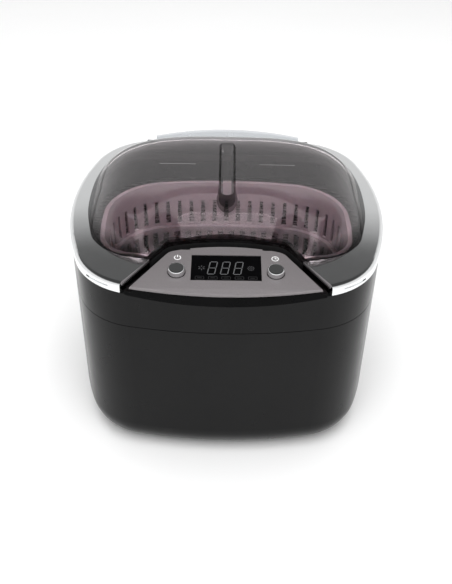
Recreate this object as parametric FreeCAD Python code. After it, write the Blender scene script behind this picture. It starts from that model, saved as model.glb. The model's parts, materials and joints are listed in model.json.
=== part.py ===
import FreeCAD, Part
import math
import os
from FreeCAD import Vector as V

os.makedirs("parts", exist_ok=True)

# ------------------------------------------------------------------ driving dimensions (mm)
# The object stands on z = 0, its front faces -Y and its width runs along X.
HALF_W, HALF_D = 102.5, 92.0          # outer outline of the lid ring
SIDE_R, END_R, CORNER_R = 166.0, 297.0, 45.0
TAPER = 2.0                           # the housing narrows by this much per side down to the floor
BOTTOM_Z, SEAM_Z = 1.5, 105.0         # underside of the housing, joint between the two shells
BOTTOM_FILLET = 20.0
WALL = 2.5
SHELL_INSET = 0.5                     # the lid ring overhangs the shells by this much
LID_Z, LID_SLOPE, FLANGE_H = 130.2, 0.05, 6.7   # lower edge of the ring at the front, its slope, its height
LID_GAP = 0.6                         # between the ring and the upper shell
RING_T = 1.8                          # thickness of the chromed shell of the ring

WIN_A, WIN_B, WIN_CY = 91.3, 71.5, 6.0          # outline of the domed window
WIN_SIDE_R, WIN_END_R, WIN_CORNER_R = 150.0, 270.0, 34.0
WIN_T = 2.4
DOME_H, DOME_POWER, DOME_N = 20.0, 8.0, 3.3     # height and fullness of the dome
FRONT_FALL, FRONT_POWER, FRONT_LOW = 30.0, 2.2, 0.85    # how the dome falls towards the fascia
RIB_HALF, RIB_SIDE, RIB_H = 4.0, 0.6, 22.5              # half width of its top, side run per height, height
RIB_REAR, RIB_FRONT = 42.8, -19.5
NOTCH_X, NOTCH_Y = 53.3, 71.0                   # rear notch of the window for the hinge

CUT_ARC_Y, CUT_ARC_R, CUT_FILLET = -40.0, 126.0, 12.0   # front cut-out of the lid
CUT_END = (62.5, -85.0)                                 # outer end of its slanted edge
CUT_DIR = (-12.25, 18.5)
PANEL_GAP, PANEL_SIDE_GAP = 4.0, 2.6            # from the lid to the fascia, at its bow and its slants
PANEL_FRONT_Y, PANEL_FRONT_R = -86.0, 426.0     # front edge of its lip at mid width, and its bow
LIP_REST = 1.5                                  # the lip lies on the housing over this depth

HINGE_Y, HINGE_Z = 84.0, 142.9
HINGE_HALF, HINGE_R_MID, HINGE_R_END = 52.0, 11.6, 6.6
HINGE_CLEAR = 0.6
PIN_R, PIN_FIT = 1.2, 0.05
EAR_END = 59.0

TANK_A, TANK_B, TANK_CY, TANK_T = 86.9, 54.7, 14.65, 0.8
TANK_SIDE_R, TANK_END_R, TANK_CORNER_R, TANK_FRONT_CORNER_R = 260.0, 320.0, 46.5, 26.0
FLANGE_W = 4.0                        # rolled flange of the tank, lying on its gasket
TANK_TOP, TANK_FLOOR, TANK_DRAFT = 121.8, 58.0, 5.0
DECK_Z, DECK_T = 119.5, 2.5

BASKET_A, BASKET_B = 85.4, 53.2
BASKET_RIM_Z, BASKET_LEDGE_Z, BASKET_FLOOR_Z = 122.0, 85.5, 61.0
SLOT_PITCH, SLOT_TOP_W, SLOT_W, LOWER_SLOT_W = 8.6, 2.3, 3.7, 4.2
UPPER_SLOTS_Z, LOWER_SLOTS_Z = (89.0, 108.0), (68.5, 83.8)

PANEL_ORIGIN_Y, PANEL_SLOPE_DEG = -65.0, 6.8    # fascia plane
PANEL_TOP_Y, PANEL_DROP = -44.0, 2.0            # it lies this far under the lid plane at its top edge
PANEL_T, PANEL_BEVEL = 1.8, 0.6
PANEL_LOW_Z = 128.8                             # lower end of the lip
LIP_Y, LIP_ANGLE = -83.0, 24.0                  # front lip of the fascia
BUTTON_X, BUTTON_V, BUTTON_R, BUTTON_H = 30.0, -3.8, 5.1, 4.0
BUTTON_GAP = 0.35
DISPLAY_W, DISPLAY_H, DISPLAY_V = 42.8, 22.8, 1.3
DISPLAY_SEAT, DISPLAY_SINK = 1.2, 0.5           # depth of its seat and of its face
DISPLAY_CHAMFER = 2.5
NOTCH_SLOT_X, NOTCH_SLOT_V, NOTCH_SLOT_W = 25.0, 17.3, 5.2  # two small slots near the top edge of the fascia
BOARD_W = -10.0                                 # underside of the control board, along the fascia normal
SWITCH_H = 3.2                                  # height of a switch on the board

SEAT_Z = 133.0                                  # top of the hinge's seat
HINGE_SCREW_X, HINGE_SCREW_Y = (-32.0, 32.0), 84.5
LID_SCREW_XY = [(-96.0, 0.0), (96.0, 0.0), (-88.0, 54.0), (88.0, 54.0), (-72.0, -71.0), (72.0, -71.0)]

TRANS_Y = TANK_CY                               # the transducer hangs under the middle of the tank
TANK_UNDER = TANK_FLOOR - TANK_T
BOARD_Z, BOARD_T = 10.0, 1.6
PCB_TOP = BOARD_Z + BOARD_T
BOARD_SCREW_XY = [(-20.0, -28.0), (22.0, -28.0), (-16.0, 28.0), (16.0, 28.0)]
RINGS = ((36.7, 41.7), (31.3, 36.3))            # heights of the two ceramic rings
BOLT_R = 4.0

PLATE_HALF = (52.0, 42.0)
PLATE_BOSS_TOP = 9.0
FLOOR_TOP = 6.5
INLET_X, INLET_Z = 0.0, 36.0
WELL_DEPTH, PIN_NECK, PIN_END, PIN_TAIL = 13.0, 0.3, 2.5, 20.0
CONTACT_X, CONTACT_R, NECK_R = 4.3, 1.2, 0.9


# ------------------------------------------------------------------ helpers
def unit(x, y):
    n = math.hypot(x, y)
    return x / n, y / n


def quarter(a, b, side_r, end_r, corner_r):
    """Ends and middle of the corner arc that joins the bowed end to the bowed side, for x, y > 0."""
    fy, sx = b - end_r, a - side_r
    d = math.hypot(sx, fy)
    r1, r2 = end_r - corner_r, side_r - corner_r
    h = (r1 * r1 - r2 * r2 + d * d) / (2 * d)
    q = math.sqrt(max(r1 * r1 - h * h, 0.0))
    ux, uy = sx / d, -fy / d
    c = max(((ux * h - uy * q * s, fy + uy * h + ux * q * s) for s in (1, -1)), key=lambda p: p[0] + p[1])
    e1, e2 = unit(c[0], c[1] - fy), unit(c[0] - sx, c[1])
    m = unit(e1[0] + e2[0], e1[1] + e2[1])
    on_end = (end_r * e1[0], fy + end_r * e1[1])
    on_side = (sx + side_r * e2[0], side_r * e2[1])
    return on_end, (c[0] + corner_r * m[0], c[1] + corner_r * m[1]), on_side


def outline(a, b, side_r, end_r, corner_r, cy=0.0, z=0.0, front_corner_r=None):
    """Closed wire of eight tangent arcs: a square with bowed sides and round corners."""
    r_end, r_mid, r_side = quarter(a, b, side_r, end_r, corner_r)
    f_end, f_mid, f_side = quarter(a, b, side_r, end_r, front_corner_r or corner_r)

    def arc(p, q, r):
        return Part.Arc(*[V(x, y + cy, z) for x, y in (p, q, r)]).toShape()

    def f(p, i, j):
        return (p[0] * i, p[1] * j)

    edges = [arc(f(f_side, 1, -1), (a, 0), r_side), arc(r_side, r_mid, r_end),
             arc(r_end, (0, b), f(r_end, -1, 1)), arc(f(r_end, -1, 1), f(r_mid, -1, 1), f(r_side, -1, 1)),
             arc(f(r_side, -1, 1), (-a, 0), f(f_side, -1, -1)),
             arc(f(f_side, -1, -1), f(f_mid, -1, -1), f(f_end, -1, -1)),
             arc(f(f_end, -1, -1), (0, -b), f(f_end, 1, -1)),
             arc(f(f_end, 1, -1), f(f_mid, 1, -1), f(f_side, 1, -1))]
    return Part.Wire(edges)


def body_wire(inset, z):
    return outline(HALF_W - inset, HALF_D - inset, SIDE_R - inset, END_R - inset, CORNER_R - inset, 0.0, z)


def prism(wire, height):
    return Part.Face(wire).extrude(V(0, 0, height))


def body_prism(inset, z0, z1):
    return prism(body_wire(inset, z0), z1 - z0)


def shell_solid(inset, z0, z1):
    """Tapered block of the housing between two heights, moved inwards by an inset."""
    o0, o1 = (SHELL_INSET + inset + TAPER * (LID_Z - z) / LID_Z for z in (z0, z1))
    return Part.makeLoft([body_wire(o0, z0), body_wire(o1, z1)], True)


def window_prism(inset, z0, z1):
    w = outline(WIN_A - inset, WIN_B - inset, WIN_SIDE_R - inset, WIN_END_R - inset, WIN_CORNER_R - inset,
                WIN_CY, z0)
    notch = box(-NOTCH_X - inset, NOTCH_Y - inset, z0 - 1, 2 * (NOTCH_X + inset), 40, z1 - z0 + 2)
    return prism(w, z1 - z0).cut(notch)


def tank_wire(a, b, z):
    grow = a - TANK_A
    return outline(a, b, TANK_SIDE_R + grow, TANK_END_R + grow, TANK_CORNER_R + grow, TANK_CY, z,
                   TANK_FRONT_CORNER_R + grow)


def tank_solid(grow, z0, z1, draft0, draft1):
    ws = [tank_wire(TANK_A + grow - d, TANK_B + grow - d, z) for z, d in ((z0, draft0), (z1, draft1))]
    return Part.makeLoft(ws, True)


def box(x, y, z, dx, dy, dz):
    return Part.makeBox(dx, dy, dz, V(x, y, z))


def cyl(r, x, y, z0, z1):
    return Part.makeCylinder(r, z1 - z0, V(x, y, z0))


def slope_block(z_front, height):
    """Large block whose lower face is parallel to the lid plane."""
    s = Part.makeBox(400, 400, height, V(-200, -100, 0))
    s.rotate(V(0, 0, 0), V(1, 0, 0), math.degrees(math.atan(LID_SLOPE)))
    s.translate(V(0, -HALF_D, z_front))
    return s


def lid_layer(z0, z1):
    """Slab between two planes parallel to the lid plane, heights taken at the front edge."""
    return slope_block(z0, z1 - z0)


def cutout_prism(grow, z0, z1, side_grow=None):
    """Front cut-out of the lid: two slanted edges joined by a bowed edge, grown outwards."""
    side = grow if side_grow is None else side_grow
    ux, uy = unit(*CUT_DIR)
    nx, ny = -uy, ux
    if ny > 0:
        nx, ny = -nx, -ny
    ay, r = CUT_ARC_Y - CUT_ARC_R, CUT_FILLET + grow
    px, py = CUT_END[0] + nx * (r - side), CUT_END[1] + ny * (r - side)
    b = px * ux + (py - ay) * uy
    c = px * px + (py - ay) ** 2 - (CUT_ARC_R + grow - r) ** 2
    t = -b + math.sqrt(b * b - c)
    fx, fy = px + ux * t, py + uy * t
    ex, ey = unit(fx, fy - ay)
    p_arc = (ex * (CUT_ARC_R + grow), ay + ey * (CUT_ARC_R + grow))
    p_line = (fx - nx * r, fy - ny * r)
    mx, my = unit(ex - nx, ey - ny)
    p_mid = (fx + mx * r, fy + my * r)
    low = -150.0
    k = (low - p_line[1]) / uy
    p_low = (p_line[0] + ux * k, low)

    def v(p, s=1):
        return V(p[0] * s, p[1], z0)

    edges = [Part.makeLine(v(p_low), v(p_line)), Part.Arc(v(p_line), v(p_mid), v(p_arc)).toShape(),
             Part.Arc(v(p_arc), V(0, CUT_ARC_Y + grow, z0), v(p_arc, -1)).toShape(),
             Part.Arc(v(p_arc, -1), v(p_mid, -1), v(p_line, -1)).toShape(),
             Part.makeLine(v(p_line, -1), v(p_low, -1)), Part.makeLine(v(p_low, -1), v(p_low))]
    return prism(Part.Wire(edges), z1 - z0)


def lid_top(y):
    return LID_Z + FLANGE_H + LID_SLOPE * (y + HALF_D)


def dome_height(x, y, inset):
    """Height of the dome over the lid plane; it goes on falling in a straight line past its edge."""
    a, b = WIN_A - inset, WIN_B - 1.5 - inset
    s = ((abs(x) / a) ** DOME_N + (abs(y - WIN_CY + 1.0) / b) ** DOME_N) ** (1.0 / DOME_N)
    rim = 1 - s ** DOME_POWER if s < 1 else -DOME_POWER * (s - 1)
    fall = (y - (CUT_ARC_Y - 25.6 * (x / 50.0) ** 4) - inset) / FRONT_FALL
    drop = max(1 - fall, 0.0)
    drop = drop ** FRONT_POWER if drop < 1 else 1 + FRONT_POWER * (drop - 1)
    front = max(1 - FRONT_LOW * drop, 0.3 * (1 - FRONT_LOW * drop))
    h = rim * front if rim > 0 and front > 0 else (0.1 * front if rim > 0 else rim * max(front, 0.2))
    return (DOME_H - inset) * h


def dome_solid(inset):
    """Everything under the dome surface."""
    nx, ny = 33, 31
    rows = []
    for i in range(nx):
        x = -96 + 192.0 * i / (nx - 1)
        rows.append([V(x, y, lid_top(y) + dome_height(x, y, inset))
                     for y in (-72 + 152.0 * j / (ny - 1) for j in range(ny))])
    surf = Part.BSplineSurface()
    surf.interpolate(rows)
    s = surf.toShape().extrude(V(0, 0, -90))
    if s.Volume < 0:
        s.reverse()
    return s


def fillet_edges(shape, radius, test):
    edges = [e for e in shape.Edges if test(e)]
    return shape.makeFillet(radius, edges)


def at_height(z, tol=0.05):
    return lambda e: abs(e.BoundBox.ZMin - z) < tol and abs(e.BoundBox.ZMax - z) < tol


def rounded_box(x, y, z, dx, dy, dz, r):
    b = box(x, y, z, dx, dy, dz)
    return b.makeFillet(r, [e for e in b.Edges if abs(e.BoundBox.ZLength - dz) < 1e-6])


def on_panel(shape):
    """Moves a shape drawn flat around the origin onto the fascia plane."""
    s = shape.copy()
    s.rotate(V(0, 0, 0), V(1, 0, 0), PANEL_SLOPE_DEG)
    s.translate(V(0, PANEL_ORIGIN_Y, panel_z(PANEL_ORIGIN_Y)))
    return s


def panel_z(y):
    top = lid_top(PANEL_TOP_Y) - PANEL_DROP
    return top + math.tan(math.radians(PANEL_SLOPE_DEG)) * (y - PANEL_TOP_Y)


def panel_space(drop):
    """Everything above the fascia's bent surface, lowered by a drop."""
    flat = Part.makeBox(300, 200, 60, V(-150, -100, -drop))
    flat = on_panel(flat)
    lip = Part.makeBox(300, 100, 60, V(-150, -60, -drop))
    lip.rotate(V(0, 0, 0), V(1, 0, 0), PANEL_SLOPE_DEG + LIP_ANGLE)
    lip.translate(V(0, LIP_Y, panel_z(LIP_Y)))
    return flat.fuse(lip)


def panel_bow(inset):
    """Upright cylinder whose front is the bowed front edge of the fascia, moved inwards."""
    return cyl(PANEL_FRONT_R, 0, PANEL_FRONT_Y + inset + PANEL_FRONT_R, 90, 160)


def pipe(points, radius):
    """Round cable through a few points."""
    curve = Part.BSplineCurve()
    curve.interpolate([V(*p) for p in points])
    path = Part.Wire([curve.toShape()])
    start = curve.value(curve.FirstParameter)
    direction = curve.tangent(curve.FirstParameter)[0]
    ring = Part.Wire([Part.makeCircle(radius, start, direction)])
    return path.makePipeShell([ring], True, False)


def group(shapes):
    return Part.makeCompound([s for sh in shapes for s in sh.Solids])


def mirror_x(shape):
    return shape.mirror(V(0, 0, 0), V(1, 0, 0))


def corners(x, y):
    return [(sx * x, sy * y) for sx in (-1, 1) for sy in (-1, 1)]


def save(name, shape):
    if shape.ShapeType != "Compound" or len(shape.Solids) != 1:
        out = shape
    else:
        out = shape.Solids[0]
    out.exportStep("parts/%s.step" % name)


# ------------------------------------------------------------------ lower housing
BOSS_XY = corners(80.0, 65.3)
FOOT_XY = corners(61.0, 50.0)
PLATE_SCREW_XY = corners(46.0, 36.0)


def plate_block(grow, z0, z1):
    hx, hy = PLATE_HALF
    return rounded_box(-hx - grow, -hy - grow, z0, 2 * (hx + grow), 2 * (hy + grow), z1 - z0, 10.0)


def base_shell():
    outer = fillet_edges(shell_solid(0, BOTTOM_Z, SEAM_Z), BOTTOM_FILLET, at_height(BOTTOM_Z))
    cavity = shell_solid(WALL, FLOOR_TOP, SEAM_Z + 1)
    inner = fillet_edges(cavity, BOTTOM_FILLET - 4.0, at_height(FLOOR_TOP))
    bosses = [cyl(4.5, x, y, 94, SEAM_Z) for x, y in BOSS_XY]
    bosses = [b.common(shell_solid(1.0, 90, SEAM_Z)) for b in bosses]
    s = outer.cut(inner)
    tongue = shell_solid(WALL + 0.2, 98, 108).cut(shell_solid(WALL + 1.6, 97, 109))
    tongue = tongue.cut(Part.makeCompound([cyl(4.8, x, y, SEAM_Z, 110) for x, y in BOSS_XY]))
    lock = shell_solid(WALL - 0.5, 98, 100).cut(shell_solid(WALL + 1.0, 97, 101))
    plate_bosses = [cyl(4.0, x, y, FLOOR_TOP - 1, PLATE_BOSS_TOP) for x, y in PLATE_SCREW_XY]
    s = s.fuse(bosses + [tongue, lock] + plate_bosses)
    s = s.cut(plate_block(0.15, 0, 4.0)).cut(plate_block(-10.0, 0, 9.0).cut(
        Part.makeCompound([cyl(4.6, x, y, 0, 10) for x, y in PLATE_SCREW_XY])))
    holes = [cyl(1.8, x, y, 90, SEAM_Z + 5) for x, y in BOSS_XY]
    holes += [cyl(1.5, x, y, 3, PLATE_BOSS_TOP + 1) for x, y in PLATE_SCREW_XY]
    holes += [cyl(7.1, x, y, 0, 2.8) for x, y in FOOT_XY]
    # opening for the mains inlet in the rear wall
    holes.append(box(INLET_X - 11.2, 70, INLET_Z - 7.2, 22.4, 40, 14.4))
    return s.cut(Part.makeCompound(holes))


def bottom_plate():
    s = plate_block(0, BOTTOM_Z, 4.0)
    posts = [cyl(3.5, x, y, 3.9, 10.0) for x, y in BOARD_SCREW_XY]
    s = s.fuse(posts)
    slots = [rounded_box(x - 1.25, y - 9, 1, 2.5, 18, 4, 1.2)
             for y in (-12, 12) for x in (-33, -27, -21, -15, -9, -3, 3, 9, 15, 21, 27, 33)]
    holes = [cyl(1.7, x, y, 0, 5) for x, y in PLATE_SCREW_XY]
    holes += [cyl(3.3, x, y, 0, 2.7) for x, y in PLATE_SCREW_XY]
    holes += [cyl(1.2, x, y, 5, 10.5) for x, y in BOARD_SCREW_XY]
    return s.cut(Part.makeCompound(slots + holes))


def screw(x, y, head_z, tip_z, r, head_r, head_h):
    """Pan-head screw with a cross recess, head at the bottom."""
    s = cyl(head_r, x, y, head_z - head_h, head_z).fuse(cyl(r, x, y, head_z - 0.01, tip_z))
    w, l = head_r * 0.3, head_r * 1.2
    z = head_z - head_h - 0.01
    cross = [box(x - dx / 2, y - dy / 2, z, dx, dy, head_h * 0.5) for dx, dy in ((w, l), (l, w))]
    return s.cut(Part.makeCompound(cross))


def shell_screws():
    return group([screw(x, y, 94.0, 114.0, 1.45, 2.8, 2.2) for x, y in BOSS_XY])


def base_screws():
    return group([screw(x, y, 2.7, PLATE_BOSS_TOP - 0.2, 1.5, 3.0, 1.0) for x, y in PLATE_SCREW_XY])


def rubber_feet():
    return group([fillet_edges(cyl(7.0, x, y, 0, 2.8), 0.8, at_height(0)) for x, y in FOOT_XY])


# ------------------------------------------------------------------ upper housing
def upper_shell():
    body = shell_solid(0, SEAM_Z + 0.4, 142.0)
    band = body.cut(slope_block(LID_Z - LID_GAP, 60))
    band = band.cut(box(-HINGE_HALF - 0.3, 79, SEAT_Z, 2 * HINGE_HALF + 0.6, 20, 20))
    band = band.cut(panel_space(PANEL_T).common(cutout_prism(-PANEL_SIDE_GAP + 0.3, 100, 160)))
    region = cutout_prism(-PANEL_GAP - 0.6, 100, 150)
    nose = body.common(region).cut(panel_space(PANEL_T))
    solid = band.fuse(nose)
    low = shell_solid(WALL, SEAM_Z - 1, DECK_Z - DECK_T)
    high = shell_solid(WALL, DECK_Z, 150).cut(cutout_prism(-PANEL_GAP - 0.6, 90, 160))
    inside = shell_solid(WALL, DECK_Z - DECK_T - 1, 150).common(cutout_prism(-PANEL_GAP - 3.0, 90, 160))
    s = solid.cut(low).cut(high).cut(inside.common(panel_bow(LIP_REST)))
    # seat of the hinge at the rear
    seat = box(-54, 79.5, DECK_Z - 0.5, 108, 13, SEAT_Z - DECK_Z + 0.5).common(shell_solid(0.5, 100, 150))
    hollow = box(-51, 82, DECK_Z - 3, 102, 13, SEAT_Z - DECK_Z + 0.5)
    seat = seat.cut(hollow.common(shell_solid(WALL, 100, 150)))
    bosses = [cyl(4.5, x, y, SEAM_Z + 0.4, DECK_Z - 1) for x, y in BOSS_XY]
    bosses = [b.common(shell_solid(1.0, 100, 130)) for b in bosses]
    s = s.fuse(bosses + [seat])
    s = s.cut(tank_solid(TANK_T + 0.3, 100, 150, 0, 0))
    s = s.cut(box(-51, 82, DECK_Z - 4, 102, 7.0, 3.0).common(shell_solid(WALL, 100, 150)))
    holes = [cyl(1.45, x, y, SEAM_Z, 115) for x, y in BOSS_XY]
    holes += [cyl(1.7, x, HINGE_SCREW_Y, DECK_Z - 4, SEAT_Z + 2) for x in HINGE_SCREW_X]
    return s.cut(Part.makeCompound(holes))


def hinge_profile(grow, half):
    """Bowed barrel around the hinge axis."""
    r0, r1 = HINGE_R_MID + grow, HINGE_R_END + grow
    a, m = V(-half, 0, r1), V(0, 0, r0)
    top = Part.Arc(a, m, V(half, 0, r1)).toShape()
    w = Part.Wire([Part.makeLine(V(-half, 0, 0), a), top, Part.makeLine(V(half, 0, r1), V(half, 0, 0)),
                   Part.makeLine(V(half, 0, 0), V(-half, 0, 0))])
    s = Part.Face(w).revolve(V(0, 0, 0), V(1, 0, 0), 360)
    s.translate(V(0, HINGE_Y, HINGE_Z))
    return s


def hinge_cover():
    s = hinge_profile(0, HINGE_HALF)
    s = s.cut(box(-60, 94.0, 120, 120, 10, 40)).cut(box(-60, 70, 120, 120, 30, SEAT_Z - 120 + 1.2))
    foot = box(-HINGE_HALF, 80.2, SEAT_Z, 2 * HINGE_HALF, 14, HINGE_Z - SEAT_Z)
    s = s.fuse(foot.common(body_prism(0.2, 120, 160)))
    inner = hinge_profile(-2.2, HINGE_HALF - 3).cut(box(-60, 90.0, 120, 120, 10, 40))
    core = [cyl(4.0, x, HINGE_SCREW_Y, SEAT_Z, 150) for x in HINGE_SCREW_X]
    core += [box(sx * 46 - 3, 79, 131, 6, 11, 14) for sx in (-1, 1)]
    inner = inner.fuse(box(-HINGE_HALF + 3, 82.4, SEAT_Z - 1, 2 * HINGE_HALF - 6, 5.0, 8))
    s = s.cut(inner.cut(Part.makeCompound(core)))
    holes = [cyl(1.2, x, HINGE_SCREW_Y, SEAT_Z - 1, SEAT_Z + 9) for x in HINGE_SCREW_X]
    holes += [Part.makeCylinder(PIN_R, 20, V(sx * 44, HINGE_Y, HINGE_Z), V(sx, 0, 0)) for sx in (-1, 1)]
    return s.cut(Part.makeCompound(holes))


def hinge_pins():
    pins = [Part.makeCylinder(PIN_R, 13.6, V(sx * 44, HINGE_Y, HINGE_Z), V(sx, 0, 0)) for sx in (-1, 1)]
    return group(pins)


def hinge_screws():
    z = SEAT_Z - DECK_T
    return group([screw(x, HINGE_SCREW_Y, z, SEAT_Z + 8, 1.2, 2.3, 1.6) for x in HINGE_SCREW_X])


# ------------------------------------------------------------------ lid
def hinge_cut():
    return hinge_profile(HINGE_CLEAR, HINGE_HALF + 0.5)


def lid_ring():
    top = LID_Z + FLANGE_H
    outer = body_prism(0, 120, 160).common(lid_layer(LID_Z, top))
    edges = [e for e in outer.Edges if abs(e.BoundBox.Center.z - lid_top(e.BoundBox.Center.y)) < 0.35]
    outer = outer.makeFillet(2.6, edges)
    inner = body_prism(RING_T, 110, 170).common(lid_layer(LID_Z - 5, top - RING_T))
    inner = inner.cut(cutout_prism(RING_T, 100, 180))
    s = outer.cut(inner).cut(window_prism(0, 110, 170)).cut(cutout_prism(0, 100, 180))
    s = s.cut(box(-EAR_END - 0.4, 75.0, 120, 2 * EAR_END + 0.8, 40, 40)).cut(hinge_cut())
    # moulded slit near each front end of the flange
    for sx in (-1, 1):
        skin = body_prism(-1, 120, 150).cut(body_prism(0.9, 110, 160))
        slit = box(70, -95, LID_Z + 2.7, 14, 30, 1.1).common(skin)
        s = s.cut(slit if sx > 0 else mirror_x(slit))
    return s.cut(Part.makeCompound([cyl(1.1, x, y, 120, lid_top(y) - 0.8) for x, y in LID_SCREW_XY]))


def grip_rib(inset):
    """Straight rib along the middle of the dome, sloping sides and a round front end."""
    rear, front = RIB_REAR - inset, RIB_FRONT + inset

    def section(z, half):
        return Part.Wire([Part.makeLine(V(half, rear, z), V(half, front, z)),
                          Part.Arc(V(half, front, z), V(0, front - half, z), V(-half, front, z)).toShape(),
                          Part.makeLine(V(-half, front, z), V(-half, rear, z)),
                          Part.makeLine(V(-half, rear, z), V(half, rear, z))])

    top, low = RIB_H - inset, 4.0
    half = RIB_HALF - 0.55 * inset
    s = Part.makeLoft([section(low, half + RIB_SIDE * (top - low)), section(top, half)], True)
    s.translate(V(0, HALF_D, 0))
    s.rotate(V(0, 0, 0), V(1, 0, 0), math.degrees(math.atan(LID_SLOPE)))
    s.translate(V(0, -HALF_D, LID_Z + FLANGE_H))
    return s


def lid_window():
    foot = LID_Z + FLANGE_H - RING_T
    outer = dome_solid(0).common(window_prism(0, 110, 175)).cut(cutout_prism(0.0, 100, 180))
    outer = outer.fuse(grip_rib(0))
    inner = dome_solid(WIN_T).common(window_prism(WIN_T, 110, 175)).cut(cutout_prism(WIN_T, 100, 180))
    inner = inner.fuse(grip_rib(WIN_T))
    return outer.cut(inner).common(slope_block(foot, 60))


def lid_screw_seat(y):
    """Height of the face under the head of a lid screw."""
    return LID_Z + 2.2 + LID_SLOPE * (y + HALF_D)


def lid_inner_frame():
    under, top = LID_Z + 0.6, LID_Z + FLANGE_H - RING_T
    slab = body_prism(RING_T + 0.2, 110, 170).common(lid_layer(under, top))
    slab = slab.cut(cutout_prism(RING_T + 0.2, 100, 180))
    hole = window_prism(3.4, 100, 180).cut(cutout_prism(4.4, 90, 190))
    s = slab.cut(hole)
    window_area = window_prism(WIN_T + 0.3, 100, 180)
    wall = cutout_prism(2.6, 100, 180).cut(cutout_prism(0.3, 90, 190)).common(window_area)
    s = s.fuse(wall.common(lid_layer(LID_Z - 4.0, top)))
    s = s.fuse(box(-62, 67.4, 120, 124, 11, 40).common(lid_layer(under, top)))
    for sx in (-1, 1):
        x0 = HINGE_HALF + 0.5 if sx > 0 else -EAR_END
        length = EAR_END - HINGE_HALF - 0.5
        ear = Part.makeCylinder(3.4, length, V(x0, HINGE_Y, HINGE_Z), V(1, 0, 0))
        arm = box(x0, 75.5, HINGE_Z - 3.0, length, HINGE_Y - 75.5, 5.8)
        s = s.fuse(ear.fuse(arm))
    s = s.cut(hinge_cut()).cut(window_prism(-0.2, 110, 175).common(slope_block(top, 60)))
    bores = []
    for sx in (-1, 1):
        end = V(sx * (HINGE_HALF - 1), HINGE_Y, HINGE_Z)
        bores.append(Part.makeCylinder(PIN_R + PIN_FIT, 7.0, end, V(sx, 0, 0)))
    bores += [cyl(1.1, x, y, 120, 150) for x, y in LID_SCREW_XY]
    bores += [cyl(2.3, x, y, 120, lid_screw_seat(y)) for x, y in LID_SCREW_XY]
    return s.cut(Part.makeCompound(bores))


def lid_screws():
    out = []
    for x, y in LID_SCREW_XY:
        out.append(screw(x, y, lid_screw_seat(y), lid_top(y) - 0.9, 1.1, 2.2, 1.3))
    return group(out)


# ------------------------------------------------------------------ tank and basket
def tank():
    outer = tank_solid(TANK_T, TANK_FLOOR - TANK_T, TANK_TOP, TANK_DRAFT, 0)
    outer = fillet_edges(outer, 10.8, at_height(TANK_FLOOR - TANK_T))
    inner = tank_solid(0, TANK_FLOOR, TANK_TOP + 0.5, TANK_DRAFT, 0)
    inner = fillet_edges(inner, 10.0, at_height(TANK_FLOOR))
    flange = prism(tank_wire(TANK_A + FLANGE_W, TANK_B + FLANGE_W, TANK_TOP - TANK_T), TANK_T)
    return outer.fuse(flange).cut(inner)


def tank_gasket():
    z0 = DECK_Z
    grow, hole = FLANGE_W - 0.4, 1.2
    s = prism(tank_wire(TANK_A + grow, TANK_B + grow, z0), TANK_TOP - TANK_T - z0)
    return s.cut(prism(tank_wire(TANK_A + hole, TANK_B + hole, z0 - 1), 5))


def basket_slots(z_range, inset, first, top_w, low_w):
    """Tapered cutters spread evenly round the basket wall from the middle of its rear side."""
    wire = tank_wire(BASKET_A - inset, BASKET_B - inset, 0)
    fine = 20
    n = int(round(wire.Length / SLOT_PITCH / 4)) * 4
    pts = wire.discretize(Number=2 * n * fine + 1)[:-1]
    start = min(range(len(pts)), key=lambda i: abs(pts[i].x) - pts[i].y)
    z0, z1 = z_range
    out = []
    for i in range(n):
        k = start + (2 * i + first) * fine
        p, q, o = (pts[(k + d) % len(pts)] for d in (0, 1, -1))
        corner = [V(-low_w / 2, -8, z0), V(low_w / 2, -8, z0), V(top_w / 2, -8, z1), V(-top_w / 2, -8, z1)]
        c = Part.Face(Part.makePolygon(corner + corner[:1])).extrude(V(0, 16, 0))
        c.rotate(V(0, 0, 0), V(0, 0, 1), math.degrees(math.atan2(q.y - o.y, q.x - o.x)))
        c.translate(V(p.x, p.y, 0))
        out.append(c)
    return out


def floor_slots():
    """Short slots in rows over the basket floor, clear of its round corners."""
    step, half_l, half_w = 11.0, 4.0, 1.6
    out = []
    for i in range(-6, 7):
        for j in range(-3, 4):
            x, y = i * step, j * step
            reach = math.hypot(max(abs(x) + half_l - 40.0, 0), max(abs(y) + half_w - 6.0, 0))
            if reach < 30.0:
                out.append(box(x - half_l, TANK_CY + y - half_w, 55, 2 * half_l, 2 * half_w, 10))
    return out


def basket():
    a, b = BASKET_A, BASKET_B

    def block(z0, o0, z1, o1):
        return Part.makeLoft([tank_wire(a - o0, b - o0, z0), tank_wire(a - o1, b - o1, z1)], True)

    lip = block(BASKET_RIM_Z - 3.5, 0, BASKET_RIM_Z, 0)
    upper = block(BASKET_LEDGE_Z, 2.6, BASKET_RIM_Z, 1.2)
    lower = fillet_edges(block(BASKET_FLOOR_Z, 7.0, BASKET_LEDGE_Z + 2.0, 5.4), 6.0,
                         at_height(BASKET_FLOOR_Z))
    up_in = block(BASKET_LEDGE_Z + 2.0, 4.4, BASKET_RIM_Z + 1, 3.0)
    low_in = fillet_edges(block(BASKET_FLOOR_Z + 2.0, 8.9, BASKET_LEDGE_Z + 3.0, 7.4), 4.5,
                          at_height(BASKET_FLOOR_Z + 2.0))
    s = lip.fuse(upper).fuse(lower).cut(up_in).cut(low_in)
    cutters = basket_slots(UPPER_SLOTS_Z, 3.0, 0, SLOT_TOP_W, SLOT_W) + floor_slots()
    cutters += basket_slots(LOWER_SLOTS_Z, 7.0, 1, LOWER_SLOT_W, LOWER_SLOT_W)
    feet = [cyl(3.0, x, y + TANK_CY, TANK_FLOOR + 0.35, BASKET_FLOOR_Z + 1)
            for x, y in corners(60.5, 27.5)]
    return s.cut(Part.makeCompound(cutters)).fuse(feet)


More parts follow.
